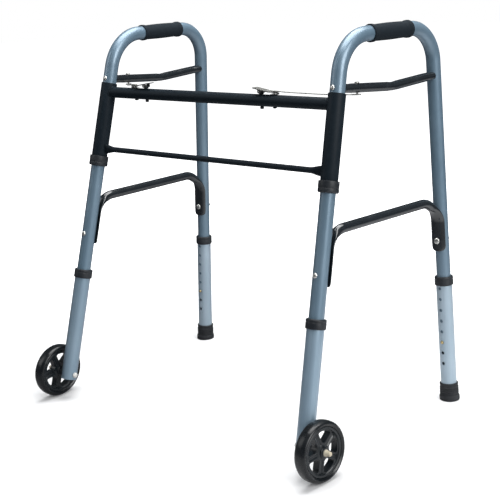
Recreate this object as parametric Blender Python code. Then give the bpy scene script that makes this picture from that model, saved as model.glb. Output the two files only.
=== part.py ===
"""Folding walking frame: two hinged side frames, a front frame, wheels in front and rubber tips behind.

All driving sizes are in millimetres; the mesh is written in metres.  X is across the walker,
-Y is its front, +Y is the open side where the user stands, and Z = 0 is the floor.
"""
import math

import bmesh
import bpy
from mathutils import Matrix, Vector

# ---------------------------------------------------------------- driving sizes (mm)
GRIP_HEIGHT = 850.0            # centre of the hand grip above the floor
TUBE_R, TUBE_WALL = 15.875, 1.6      # side frame tube
EXT_R, EXT_BORE = 18.15, 16.5        # sliding leg extensions
SLEEVE_R, SLEEVE_BORE = 18.2, 16.5   # pivot sleeves of the front frame
BEND_R = (95.0, 73.0)          # front and rear corners of the side frame
FRONT_FOOT = (371.4, -247.3)   # front leg axis where it meets the floor (x, y)
FRONT_SLOPE = 0.2694           # front leg leans back, mm per mm of height
REAR_FOOT_Y, REAR_SLOPE = 261.3, 0.020
PLANE_TOE, PLANE_LEAN = 0.0530, 0.0545   # side frame plane: toe-out and inward lean
SLEEVE_Z = (565.0, 741.0)
SLEEVE_COLLAR_Z = (551.0, 574.0)
BAR_Z, BAR_R, BAR_WALL = 720.6, 12.7, 1.6
LOW_BAR_Z, LOW_BAR_R = 591.0, 6.35
GRIP_Y, GRIP_LENGTH, GRIP_R = 130.0, 130.0, 17.4
UPPER_BRACE = ((752.0, 0.0), (737.0, 124.7), (744.5, 0.0))   # front z, (bend z, bend y), rear z
UPPER_BRACE_A, UPPER_BRACE_B = 10.0, 9.6
LOWER_BRACE_R = 10.5
LOWER_BRACE_Z = (478.0, 470.0)
LOWER_END_Z = (371.0, 355.0)
LOWER_BOLT_Z = (392.0, 378.0)
UPPER_BOLT_Z = (750.0, 744.0)
LOWER_BEND_R = 50.0
HOLE_PITCH, HOLE_COUNT, HOLE_R = 25.4, 8, 4.0
REAR_BUTTON_Z, FRONT_BUTTON_Z = 140.4, 156.0   # third hole from the bottom
EXT_TOP_Z = (306.5, 291.0)     # front, rear
FRONT_EXT_BOTTOM_Z, REAR_EXT_BOTTOM_Z = 50.0, 13.0
TUBE_END_Z = (133.0, 120.0)
WHEEL_R, WHEEL_OFFSET, HUB_HALF = 63.5, 41.0, 13.0
AXLE_R = 4.0
TIP_HEIGHT, TIP_TOP_R, TIP_BASE_R = 41.0, 21.2, 23.4
LEVER = {1: (145.5, 181.0), -1: (208.0, 243.5)}   # hinge post x, spring rivet x, each side
STUD_BACK = 67.0               # latch stud behind the front leg
LEVER_SLOPE = 0.16             # fall of the lever plate, mm per mm
SIDES = 16                     # facets round each tube
MM = 0.001

for old in list(bpy.data.objects):
    bpy.data.objects.remove(old, do_unlink=True)

# ---------------------------------------------------------------- directions of one side frame (+X side)


def plane_x(y, z):
    return FRONT_FOOT[0] + PLANE_TOE * (y - FRONT_FOOT[1]) - PLANE_LEAN * z


def in_plane(y, z):
    return Vector((plane_x(y, z), y, z))


def front_leg(z):
    return in_plane(FRONT_FOOT[1] + FRONT_SLOPE * z, z)


def rear_leg(z):
    return in_plane(REAR_FOOT_Y + REAR_SLOPE * z, z)


OUT = Vector((1.0, -PLANE_TOE, PLANE_LEAN)).normalized()     # outward, square to the side frame
UP_F = (front_leg(850) - front_leg(0)).normalized()
UP_R = (rear_leg(850) - rear_leg(0)).normalized()
BACK_F = UP_F.cross(OUT).normalized()
BACK_R = UP_R.cross(OUT).normalized()
BAR_Y = front_leg(BAR_Z).y

# ---------------------------------------------------------------- materials
COLOURS = {
    "blue_anodised": ((0.26, 0.36, 0.45), 0.85, 0.30),
    "pale_blue_anodised": ((0.42, 0.53, 0.62), 0.85, 0.32),
    "black_paint": ((0.012, 0.015, 0.020), 0.0, 0.30),
    "grey_foam": ((0.045, 0.052, 0.055), 0.0, 0.95),
    "black_plastic": ((0.020, 0.024, 0.028), 0.0, 0.50),
    "black_rubber": ((0.022, 0.025, 0.028), 0.0, 0.85),
    "tyre_black": ((0.010, 0.011, 0.013), 0.0, 0.45),
    "bright_steel": ((0.62, 0.61, 0.58), 1.0, 0.30),
    "satin_steel": ((0.42, 0.42, 0.40), 1.0, 0.42),
    "brass": ((0.60, 0.47, 0.22), 1.0, 0.32),
    "ivory_plastic": ((0.62, 0.58, 0.48), 0.0, 0.45),
}


def new_material(name, colour, metallic, roughness):
    mat = bpy.data.materials.new(name)
    mat.use_nodes = True
    shader = mat.node_tree.nodes["Principled BSDF"]
    shader.inputs["Base Color"].default_value = (*colour, 1.0)
    shader.inputs["Metallic"].default_value = metallic
    shader.inputs["Roughness"].default_value = roughness
    return mat


# ---------------------------------------------------------------- mesh helpers


def side_name(side):
    return "right" if side > 0 else "left"


def finish(name, bm, material, origin=(0, 0, 0), side=1, cutter=False):
    """Write a bmesh (mm, drawn for the +X side) as an object; side -1 mirrors it across X = 0."""
    origin = Vector(origin)
    if side < 0:
        for v in bm.verts:
            v.co.x = -v.co.x
        origin.x = -origin.x
        bmesh.ops.reverse_faces(bm, faces=bm.faces[:])
    for v in bm.verts:
        v.co = (v.co - origin) * MM
    bm.normal_update()
    if bm.calc_volume(signed=True) < 0:
        bmesh.ops.reverse_faces(bm, faces=bm.faces[:])
    mesh = bpy.data.meshes.new(name)
    bm.to_mesh(mesh)
    bm.free()
    obj = bpy.data.objects.new(name, mesh)
    bpy.context.scene.collection.objects.link(obj)
    obj.location = origin * MM
    if cutter:
        obj.hide_render = True
        obj.display_type = "WIRE"
    else:
        mesh.materials.append(new_material(name, *COLOURS[material]))
        mesh.shade_smooth()
        mesh.set_sharp_from_angle(angle=math.radians(35))
    return obj


def boolean(obj, other, operation="DIFFERENCE"):
    mod = obj.modifiers.new(operation.lower(), "BOOLEAN")
    mod.operation = operation
    mod.solver = "EXACT"
    mod.object = other


def ring(bm, centre, a, b, ra, rb, sides, power=2.0):
    """One ring of vertices; a power over 2 squares the section off."""
    out = []
    for k in range(sides):
        t = 2 * math.pi * (k + 0.5) / sides
        c, s = math.cos(t), math.sin(t)
        e = 2.0 / power
        ca = math.copysign(abs(c) ** e, c)
        sa = math.copysign(abs(s) ** e, s)
        out.append(bm.verts.new(centre + a * (ra * ca) + b * (rb * sa)))
    return out


def bridge(bm, one, two):
    n = len(one)
    for k in range(n):
        bm.faces.new((one[k], one[(k + 1) % n], two[(k + 1) % n], two[k]))


def revolve(base, axis, profile, sides=SIDES, hollow=False, ref=None):
    """Turn (radius, height) pairs round an axis.  A hollow profile is a closed loop, else it is capped."""
    bm = bmesh.new()
    axis = Vector(axis).normalized()
    a = Vector(ref) if ref is not None else (OUT if abs(axis.dot(OUT)) < 0.9 else Vector((0, 1, 0)))
    a = (a - axis * a.dot(axis)).normalized()
    b = axis.cross(a)
    rings = [ring(bm, Vector(base) + axis * h, a, b, r, r, sides) for r, h in profile]
    for i in range(len(rings) - 1):
        bridge(bm, rings[i], rings[i + 1])
    if hollow:
        bridge(bm, rings[-1], rings[0])
    else:
        bm.faces.new(rings[0][::-1])
        bm.faces.new(rings[-1])
    return bm


def rod(base, axis, radius, start, end, sides=8):
    return revolve(base, axis, [(radius, start), (radius, end)], sides)


def box_between(lo, hi):
    bm = bmesh.new()
    bmesh.ops.create_cube(bm, size=1.0)
    lo, hi = Vector(lo), Vector(hi)
    for v in bm.verts:
        v.co = Vector(((lo[i] + hi[i]) / 2 + v.co[i] * (hi[i] - lo[i]) for i in range(3)))
    return bm


def fillet(points, radii, step=12.5):
    """Round the inner corners of a polyline, each with its own radius, step degrees a segment."""
    out = [Vector(points[0])]
    for i in range(1, len(points) - 1):
        p, q, r = Vector(points[i - 1]), Vector(points[i]), Vector(points[i + 1])
        d1, d2 = (p - q).normalized(), (r - q).normalized()
        inner = d1.angle(d2)
        reach = radii[i - 1] / math.tan(inner / 2)
        a, b = q + d1 * reach, q + d2 * reach
        centre = q + (d1 + d2).normalized() * (radii[i - 1] / math.sin(inner / 2))
        count = max(2, round(math.degrees(math.pi - inner) / step))
        va, vb = a - centre, b - centre
        whole = va.angle(vb)
        for k in range(count + 1):
            t = k / count
            out.append(centre + (va * math.sin((1 - t) * whole) + vb * math.sin(t * whole)) / math.sin(whole))
    out.append(Vector(points[-1]))
    return out


def tangents(path):
    out = []
    for i, p in enumerate(path):
        if i == 0:
            t = path[1] - p
        elif i == len(path) - 1:
            t = p - path[i - 1]
        else:
            t = (path[i + 1] - p).normalized() + (p - path[i - 1]).normalized()
        out.append(t.normalized())
    return out


def sweep(path, normal, sections, sides, bore=None):
    """Sweep a section along a flat path; sections give (half width, half height, power) for each point."""
    bm = bmesh.new()
    outer, inner = [], []
    for p, t, (ra, rb, power) in zip(path, tangents(path), sections):
        b = t.cross(normal).normalized()
        outer.append(ring(bm, p, normal, b, ra, rb, sides, power))
        if bore:
            inner.append(ring(bm, p, normal, b, bore, bore, sides))
    for i in range(len(path) - 1):
        bridge(bm, outer[i], outer[i + 1])
        if bore:
            bridge(bm, inner[i + 1], inner[i])
    if bore:
        bridge(bm, inner[0], outer[0])
        bridge(bm, outer[-1], inner[-1])
    else:
        bm.faces.new(outer[0][::-1])
        bm.faces.new(outer[-1])
    bmesh.ops.recalc_face_normals(bm, faces=bm.faces[:])
    return bm


def slab(rows):
    """Loft rectangles given as four corner points each."""
    bm = bmesh.new()
    rings = [[bm.verts.new(Vector(c)) for c in row] for row in rows]
    for i in range(len(rings) - 1):
        bridge(bm, rings[i], rings[i + 1])
    bm.faces.new(rings[0][::-1])
    bm.faces.new(rings[-1])
    bmesh.ops.recalc_face_normals(bm, faces=bm.faces[:])
    return bm


# ---------------------------------------------------------------- front frame
def front_frame():
    half = front_leg(BAR_Z).x
    across = Vector((1, 0, 0))
    bar = finish("upper_crossbar", revolve((0, BAR_Y, BAR_Z), across, [
        (BAR_R, -half), (BAR_R, half), (BAR_R - BAR_WALL, half), (BAR_R - BAR_WALL, -half)],
        SIDES, hollow=True, ref=(0, 0, 1)), "black_paint", (0, BAR_Y, BAR_Z))
    low = front_leg(LOW_BAR_Z)
    reach = low.x - SLEEVE_R + 3
    path = [Vector((x, low.y, LOW_BAR_Z)) for x in
            (-reach, -reach + 16, -reach + 34, -reach + 40, reach - 40, reach - 34, reach - 16, reach)]
    flat, mid, full = (3.6, 12.0, 3.0), (4.2, 10.0, 2.4), (LOW_BAR_R, LOW_BAR_R, 2.0)
    lower = finish("lower_crossbar", sweep(path, Vector((0, 1, 0)),
                   [flat, flat, mid, full, full, mid, flat, flat], 16),
                   "black_paint", (0, low.y, LOW_BAR_Z))
    for side in (1, -1):
        tag = side_name(side)
        lo, hi = (front_leg(z) for z in SLEEVE_Z)
        length = (hi - lo).length
        finish(f"pivot_sleeve_{tag}", revolve(lo, UP_F, [
            (SLEEVE_R, 0), (SLEEVE_R, length), (SLEEVE_BORE, length), (SLEEVE_BORE, 0)],
            SIDES, hollow=True), "black_paint", lo, side)
        cope = finish(f"cut_cope_{tag}", rod(lo, UP_F, SLEEVE_R + 0.35, -20, length + 20, SIDES),
                      None, lo, side, cutter=True)
        boolean(bar, cope)
        boolean(lower, cope)
        release(side, bar)


# ---------------------------------------------------------------- release lever, one each side
def release(side, bar):
    tag = side_name(side)
    hinge_x, rivet_x = LEVER[side]
    y, down, up = BAR_Y, Vector((0, 0, -1)), Vector((0, 0, 1))
    top, bottom = BAR_Z + BAR_R, BAR_Z - BAR_R
    hinge_z = top + 5.0
    along = Vector((0, 1, 0))
    # hinge post: a bolt through the bar with its knob underneath and a slotted head on top
    post = finish(f"hinge_post_{tag}", revolve((hinge_x, y, bottom), up, [
        (3.0, -6.6), (4.4, -5.6), (4.6, -2.4), (4.0, -0.45), (2.8, -0.4), (2.8, 25.8),
        (5.2, 25.85), (5.2, 33.4)], 12), "black_plastic", (hinge_x, y, bottom), side)
    boolean(post, finish(f"cut_pinhole_{tag}", rod((hinge_x, y, hinge_z), along, 1.85, -12, 12),
                         None, (hinge_x, y, top), side, cutter=True))
    boolean(bar, finish(f"cut_post_{tag}", rod((hinge_x, y, bottom), up, 3.25, -8, 40),
                        None, (hinge_x, y, top), side, cutter=True))
    boolean(bar, finish(f"cut_rivet_{tag}", rod((rivet_x, y, bottom), up, 2.6, -8, 40),
                        None, (rivet_x, y, top), side, cutter=True))
    finish(f"lever_pin_{tag}", revolve((hinge_x, y, hinge_z), along, [
        (1.9, -9.8), (2.6, -9.2), (2.6, -8.3), (1.5, -8.2), (1.5, 8.2), (2.6, 8.3), (2.6, 9.2),
        (1.9, 9.8)], 8), "satin_steel", (hinge_x, y, hinge_z), side)
    # leaf spring that lifts the lever, curled from a strip riveted to the bar
    curve = [(-8, 1.0), (4, 1.0), (8.5, 1.2), (10.6, 2.2), (9.6, 3.3), (6, 3.7), (1, 3.6), (-4, 3.3)]
    path = [Vector((rivet_x + dx, y, top + dz)) for dx, dz in curve]
    spring = finish(f"leaf_spring_{tag}", sweep(path, along, [(4.6, 0.45, 8.0)] * len(path), 8),
                    "black_paint", (rivet_x, y, top + 1), side)
    boolean(spring, finish(f"cut_leaf_{tag}", rod((rivet_x, y, top), up, 2.6, -2, 3.0),
                           None, (rivet_x, y, top), side, cutter=True))
    finish(f"spring_rivet_{tag}", revolve((rivet_x, y, bottom), up, [
        (2.6, -2.8), (4.2, -2.0), (4.6, -0.45), (2.2, -0.4), (2.2, 26.95), (4.0, 27.0), (3.4, 27.7)], 8),
        "black_paint", (rivet_x, y, bottom), side)
    # lever: a sloping plate with a raised finger end and two ears that turn on the pin
    rows = []
    for dx, half in ((-20, 7.5), (-16, 9.5), (26, 9.5), (31, 6.5), (46, 5.5)):
        x, hi = hinge_x + dx, 14.6 - LEVER_SLOPE * (min(dx, 28) + 20)
        rows.append([(x, y - half, top + hi - 2), (x, y + half, top + hi - 2),
                     (x, y + half, top + hi), (x, y - half, top + hi)])
    paddle = finish(f"release_paddle_{tag}", slab(rows), "satin_steel", (hinge_x, y, hinge_z), side)
    for k in (-1, 1):
        ear = box_between((hinge_x - 5, y + min(k * 6.0, k * 7.8), top + 2.0),
                          (hinge_x + 5, y + max(k * 6.0, k * 7.8), top + 10.6))
        boolean(paddle, finish(f"cut_ear{k + 1}_{tag}", ear, None, (hinge_x, y, hinge_z), side, cutter=True),
                "UNION")
    boolean(paddle, finish(f"cut_bore_{tag}", rod((hinge_x, y, hinge_z), along, 1.85, -9, 9),
                           None, (hinge_x, y, hinge_z), side, cutter=True))
    # lock bar: flat strip from the heel of the lever to the latch stud under the upper brace
    stud = stud_base()
    start = hinge_x + 34.0
    lie = [(start, 0.0, 7.45), (start + 13, 0.0, 7.35), (start + 24, 3.0, 5.6)]
    far = Vector((stud.x, stud.y - y, STUD_TIP_Z - 0.95 - 1.8 - top))
    here = Vector(lie[-1])
    for t, k in ((0.25, 0.40), (0.5, 0.74), (0.72, 0.93), (1.0, 1.0)):
        p = here + (far - here) * t
        lie.append((p.x, p.y, here.z + (far.z - here.z) * k))
    end = Vector(lie[-1]) + (Vector(lie[-1]) - Vector(lie[-2])).normalized() * 8
    lie.append((end.x, end.y, far.z))
    rows = []
    for i, (x, dy, dz) in enumerate(lie):
        a, b = Vector(lie[max(i - 1, 0)]), Vector(lie[min(i + 1, len(lie) - 1)])
        flow = Vector((b.x - a.x, b.y - a.y, 0)).normalized()
        cross = Vector((-flow.y, flow.x, 0))
        half = 4.5 if i < 3 else (5.0 if i < len(lie) - 2 else 7.5)
        c = Vector((x, y + dy, top + dz))
        rows.append([c - cross * half, c + cross * half, c + cross * half + up * 1.8, c - cross * half + up * 1.8])
    lock = finish(f"lock_bar_{tag}", slab(rows), "satin_steel", (hinge_x, y, hinge_z), side)
    boolean(lock, finish(f"cut_eye_{tag}", rod((stud.x, stud.y, stud.z), down, 3.8, -30, 30, 12),
                         None, stud, side, cutter=True))


PRESS_R, PRESS_HALF, PRESS_T = 30.0, 38.0, 1.65   # pressed end: hollow radius, half angle, half thickness
TOE = ((0.0, 0.62), (5.0, 0.94), (12.0, 1.0))      # height above the end, share of the full width


def pressed_ring(bm, centre, away, press, width):
    """Ring of the lower brace: a circle when press is 0, a hollowed flat when it is 1."""
    out = []
    for k in range(12):
        t = 2 * math.pi * (k + 0.5) / 12
        whole = (OUT * math.cos(t) + away * math.sin(t)) * LOWER_BRACE_R
        u = math.radians(PRESS_HALF * width) * math.cos(t)
        r = PRESS_R + math.copysign(PRESS_T, math.sin(t))
        flat = OUT * (r * math.sin(u)) + away * (r * math.cos(u) - PRESS_R)
        out.append(bm.verts.new(centre + whole * (1 - press) + flat * press))
    return out


def brace_line():
    """Corners of the upper brace's axis from front leg to rear leg."""
    (z0, _), (z1, y1), (z2, _) = UPPER_BRACE
    a = front_leg(z0) + BACK_F * 11.0
    c = rear_leg(z2) - BACK_R * 11.0
    return a, in_plane(y1, z1), c


def stud_base():
    """Point on the upper brace's axis where the latch stud goes through."""
    a, b, _ = brace_line()
    y = BAR_Y + STUD_BACK
    t = (y - a.y) / (b.y - a.y)
    return a + (b - a) * t


STUD_TIP_Z = stud_base().z - UPPER_BRACE_B - 1.9


# ---------------------------------------------------------------- side frames
def side_frame(side):
    tag = side_name(side)
    origin = front_leg(SLEEVE_Z[0])
    corner_f, corner_r = front_leg(GRIP_HEIGHT), rear_leg(GRIP_HEIGHT)
    path = fillet([front_leg(TUBE_END_Z[0]), corner_f, corner_r, rear_leg(TUBE_END_Z[1])],
                  list(BEND_R))
    tube = finish(f"side_tube_{tag}", sweep(path, OUT, [(TUBE_R, TUBE_R, 2.0)] * len(path), SIDES,
                  bore=TUBE_R - TUBE_WALL), "blue_anodised", origin, side)
    # hand grip: foam sleeve with a lip at each end and a slight belly
    along = (corner_r - corner_f).normalized()
    middle = in_plane(GRIP_Y, GRIP_HEIGHT)
    h, r = GRIP_LENGTH / 2, GRIP_R
    profile = [(r - 0.4, -h), (r + 1.4, -h + 2.5), (r + 1.4, -h + 9), (r - 0.4, -h + 17), (r + 0.4, -h + 45),
               (r + 0.4, h - 45), (r - 0.4, h - 17), (r + 1.4, h - 9), (r + 1.4, h - 2.5), (r - 0.4, h),
               (TUBE_R + 0.25, h), (TUBE_R + 0.25, -h)]
    finish(f"hand_grip_{tag}", revolve(middle, along, profile, SIDES, hollow=True), "grey_foam",
           middle, side)
    # upper brace: shallow V, coped and spread where it meets each leg
    a, b, c = brace_line()
    path = fillet([a, b, c], [12.0], 3.0)
    n = len(path)
    spread, body, pinch = (13.0, 8.8, 2.6), (UPPER_BRACE_A, UPPER_BRACE_B, 2.0), (10.8, 8.8, 2.2)
    pts = [a, a + (b - a).normalized() * 12, a + (b - a).normalized() * 30] + path[1:n - 1]
    pts += [c + (b - c).normalized() * 30, c + (b - c).normalized() * 12, c]
    sections = [spread, spread, body] + [pinch if 0 < i < n - 3 else body for i in range(n - 2)]
    sections += [body, spread, spread]
    brace = finish(f"upper_brace_{tag}", sweep(pts, OUT, sections, 12), "black_paint", a, side)
    # lower brace: one tube bent down at both ends, pressed flat where it lies along each leg
    flat = TUBE_R + 0.9 + PRESS_T
    (f, g), (z0, z1) = LOWER_BRACE_Z, LOWER_END_Z
    corner_a, corner_b = front_leg(f) + BACK_F * flat, rear_leg(g) - BACK_R * flat
    head = [front_leg(z0 + h) + BACK_F * flat for h, _ in TOE]
    tail = [rear_leg(z1 + h) - BACK_R * flat for h, _ in reversed(TOE)]
    bend = fillet([head[-1], corner_a, corner_b, tail[0]], [LOWER_BEND_R] * 2, 14.0)[1:-1]
    line = head + bend + tail
    widths = [w for _, w in TOE] + [1.0] * len(bend) + [w for _, w in reversed(TOE)]
    bm = bmesh.new()
    rings = []
    for i, (p, t) in enumerate(zip(line, tangents(line))):
        lean = math.degrees(t.angle(UP_F if 2 * i < len(line) else -UP_R))
        rings.append(pressed_ring(bm, p, t.cross(OUT), max(0.0, 1 - (lean / 50) ** 2), widths[i]))
    for i in range(len(rings) - 1):
        bridge(bm, rings[i], rings[i + 1])
    bm.faces.new(rings[0][::-1])
    bm.faces.new(rings[-1])
    bmesh.ops.recalc_face_normals(bm, faces=bm.faces[:])
    lower = finish(f"lower_brace_{tag}", bm, "black_paint", corner_a, side)
    for n_, leg, up_, sign in ((0, front_leg(700), UP_F, "front"), (1, rear_leg(700), UP_R, "rear")):
        cope = finish(f"cut_leg_{sign}_{tag}", rod(leg, up_, TUBE_R + 0.35, -80, 100, SIDES),
                      None, leg, side, cutter=True)
        boolean(brace, cope)
    # bolts: heads in front of the front leg, in front of the lower brace's rear end, and behind the rear leg
    dome = [(2.4, -3.4), (4.8, -2.2), (5.6, 0.0)]
    for name, base, axis, grip, nut, target in (
            ("upper_front_bolt", front_leg(UPPER_BOLT_Z[0]) - BACK_F * (TUBE_R + 0.4), BACK_F,
             TUBE_R * 2 + 16, False, brace),
            ("upper_rear_bolt", rear_leg(UPPER_BOLT_Z[1]) + BACK_R * (TUBE_R + 0.4), -BACK_R,
             TUBE_R * 2 + 16, False, brace),
            ("lower_front_bolt", front_leg(LOWER_BOLT_Z[0]) - BACK_F * (TUBE_R + 0.4), BACK_F,
             TUBE_R * 2 + 5.2, True, lower),
            ("lower_rear_bolt", rear_leg(LOWER_BOLT_Z[1]) - BACK_R * (TUBE_R + 4.6), BACK_R,
             TUBE_R * 2 + 5.2, True, lower)):
        wide = 1.3 if name == "lower_rear_bolt" else 1.0
        profile = [(r * wide, h) for r, h in dome] + [(3.0, 0.05), (3.0, grip)]
        if nut:
            profile += [(6.2, grip + 0.05), (6.2, grip + 4.6), (4.6, grip + 5.4)]
        finish(f"{name}_{tag}", revolve(base, axis, profile, 10), "bright_steel", base, side)
        cut = finish(f"cut_{name}_{tag}", rod(base, axis, 3.45, -2, grip + 2), None, base, side, cutter=True)
        boolean(tube, cut)
        boolean(target, cut)
    # latch stud through the upper brace
    stud, up = stud_base(), Vector((0, 0, 1))
    finish(f"latch_stud_{tag}", revolve(stud, up, [
        (2.0, STUD_TIP_Z - stud.z), (2.4, STUD_TIP_Z - stud.z + 0.4), (2.4, UPPER_BRACE_B + 0.55), (5.0, UPPER_BRACE_B + 0.6),
        (4.6, UPPER_BRACE_B + 2.4), (2.4, UPPER_BRACE_B + 3.6)], 8), "satin_steel", stud, side)
    boolean(brace, finish(f"cut_stud_{tag}", rod(stud, up, 2.85, -14, 14), None, stud, side, cutter=True))
    # collar on the front leg that carries the pivot sleeve
    lo = front_leg(SLEEVE_COLLAR_Z[0])
    rise = (front_leg(SLEEVE_COLLAR_Z[1]) - lo).length
    seat = (front_leg(SLEEVE_Z[0]) - lo).length - 0.4
    finish(f"sleeve_collar_{tag}", revolve(lo, UP_F, [
        (TUBE_R + 0.3, 0), (20.4, 0), (21.6, 1.6), (21.6, rise), (SLEEVE_R + 0.8, rise),
        (SLEEVE_R + 0.8, seat), (TUBE_R + 0.3, seat)], SIDES, hollow=True), "black_plastic", lo, side)
    extensions(side, tube)


# ---------------------------------------------------------------- leg extensions, collars, tips, wheels
def extensions(side, tube):
    tag = side_name(side)
    plans = (
        ("front", front_leg, UP_F, BACK_F, FRONT_EXT_BOTTOM_Z, EXT_TOP_Z[0], FRONT_BUTTON_Z, 1.0),
        ("rear", rear_leg, UP_R, BACK_R, REAR_EXT_BOTTOM_Z, EXT_TOP_Z[1], REAR_BUTTON_Z, -1.0),
    )
    for end, leg, up, back, bottom_z, top_z, button_z, facing in plans:
        lo, hi = leg(bottom_z), leg(top_z)
        length = (hi - lo).length
        ext = finish(f"{end}_extension_{tag}", revolve(lo, up, [
            (EXT_R, 0), (EXT_R, length), (EXT_BORE, length), (EXT_BORE, 0)], SIDES, hollow=True),
            "pale_blue_anodised", lo, side)
        button, out = leg(button_z), back * facing
        for k in range(HOLE_COUNT):
            spot = button + up * (HOLE_PITCH * (k - 2))
            boolean(ext, finish(f"cut_{end}_hole{k}_{tag}", rod(spot, out, HOLE_R, 9, 24, 8),
                                None, spot, side, cutter=True))
        boolean(tube, finish(f"cut_{end}_button_{tag}", rod(button, out, HOLE_R, 9, 24, 8),
                             None, button, side, cutter=True))
        # snap button with the V spring that carries it, inside the side frame tube
        bore = TUBE_R - TUBE_WALL
        leafs = [(0.0, bore - 1.4), (9.0, bore - 1.5), (30.0, 2.0), (36.0, -3.5), (34.0, -8.0), (8.0, -bore + 1.8),
                 (-8.0, -bore + 1.8)]
        path = [button + up * h + out * d for h, d in leafs]
        leaf = sweep([path[0] - up * 7] + path, OUT, [(3.5, 0.4, 8.0)] * 8, 8)
        snap = finish(f"{end}_snap_button_{tag}", leaf, "brass", button + out * EXT_R, side)
        boolean(snap, finish(f"cut_{end}_nib_{tag}", revolve(button, out, [
            (3.5, bore - 1.7), (3.5, EXT_R + 1.6), (2.6, EXT_R + 2.9), (1.2, EXT_R + 3.4)], 8),
            None, button, side, cutter=True), "UNION")
        # collar on the top end of the extension
        ring_lo = hi - up * 17.5
        finish(f"{end}_collar_{tag}", revolve(ring_lo, up, [
            (EXT_R + 0.3, 0), (21.2, 0), (21.2, 18.6), (20.0, 20.6), (TUBE_R + 0.45, 20.6),
            (TUBE_R + 0.45, 17.9), (EXT_R + 0.3, 17.9)], SIDES, hollow=True), "black_plastic", hi, side)
        if end == "rear":
            rubber_tip(tag, side)
        else:
            wheel(tag, side, ext)


def rubber_tip(tag, side):
    """Ferrule: flat on the floor, its cup square to the leaning leg."""
    bm = bmesh.new()
    foot = rear_leg(0)
    flat_a, flat_b = Vector((1, 0, 0)), Vector((0, 1, 0))
    a = (OUT - UP_R * OUT.dot(UP_R)).normalized()
    b = UP_R.cross(a)
    seat = (rear_leg(REAR_EXT_BOTTOM_Z) - foot).length - 0.4
    rings = [ring(bm, foot, flat_a, flat_b, TIP_BASE_R - 1.0, TIP_BASE_R - 1.0, SIDES),
             ring(bm, foot + Vector((0, 0, 2.0)), flat_a, flat_b, TIP_BASE_R, TIP_BASE_R, SIDES)]
    cup = [(TIP_BASE_R, 8.0), (TIP_TOP_R + 0.2, 12.0)]
    for k in range(3):
        cup += [(TIP_TOP_R - 0.3, 15.0 + 6.5 * k), (TIP_TOP_R + 0.7, 17.0 + 6.5 * k)]
    cup += [(TIP_TOP_R, 34.0), (TIP_TOP_R, TIP_HEIGHT - 1.2), (TIP_TOP_R - 1.2, TIP_HEIGHT),
            (EXT_R + 0.3, TIP_HEIGHT), (EXT_R + 0.3, seat)]
    rings += [ring(bm, foot + UP_R * h, a, b, r, r, SIDES) for r, h in cup]
    for i in range(len(rings) - 1):
        bridge(bm, rings[i], rings[i + 1])
    bm.faces.new(rings[0][::-1])
    bm.faces.new(rings[-1])
    bmesh.ops.recalc_face_normals(bm, faces=bm.faces[:])
    finish(f"rubber_tip_{tag}", bm, "black_rubber", foot, side)


def wheel_disc(centre, axis):
    """Hub with five spokes: a ring of cells, the open ones left out between the spokes."""
    bm = bmesh.new()
    a = (UP_F - axis * UP_F.dot(axis)).normalized()
    b = axis.cross(a)
    cells = 30
    radii = [(AXLE_R + 0.6, HUB_HALF), (11.0, HUB_HALF), (17.5, 8.0), (42.5, 8.0), (45.5, 11.4), (51.5, 11.4)]
    solid = [[(i != 2) or (j % 6 in (0, 1)) for j in range(cells)] for i in range(len(radii) - 1)]
    grid = []
    for r, h in radii:
        rows = []
        for j in range(cells):
            t = 2 * math.pi * j / cells
            d = a * (r * math.cos(t)) + b * (r * math.sin(t))
            rows.append((bm.verts.new(centre + d + axis * h), bm.verts.new(centre + d - axis * h)))
        grid.append(rows)
    for i in range(len(radii) - 1):
        for j in range(cells):
            if not solid[i][j]:
                continue
            k = (j + 1) % cells
            p, q, r, s = grid[i][j], grid[i + 1][j], grid[i + 1][k], grid[i][k]
            bm.faces.new((p[0], q[0], r[0], s[0]))
            bm.faces.new((s[1], r[1], q[1], p[1]))
            if not solid[i][k]:
                bm.faces.new((s[0], r[0], r[1], s[1]))
            if not solid[i][(j - 1) % cells]:
                bm.faces.new((p[1], q[1], q[0], p[0]))
            if i == len(radii) - 2 or not solid[i + 1][j]:
                bm.faces.new((q[0], q[1], r[1], r[0]))
            if i == 0 or not solid[i - 1][j]:
                bm.faces.new((p[1], p[0], s[0], s[1]))
    bmesh.ops.recalc_face_normals(bm, faces=bm.faces[:])
    return bm


TYRE = [(51.85, -11.6), (57.5, -15.0), (61.4, -13.4), (WHEEL_R, -6.0), (WHEEL_R, 6.0),
        (61.4, 13.4), (57.5, 15.0), (51.85, 11.6)]


def axle_point():
    """Axle centre on the front leg axis, placed so that the tyre just touches the floor."""
    z = WHEEL_R
    for _ in range(4):
        tyre = revolve(front_leg(z) + OUT * WHEEL_OFFSET, OUT, TYRE, 32, hollow=True, ref=UP_F)
        z -= min(v.co.z for v in tyre.verts)
        tyre.free()
    return front_leg(z)


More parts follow.
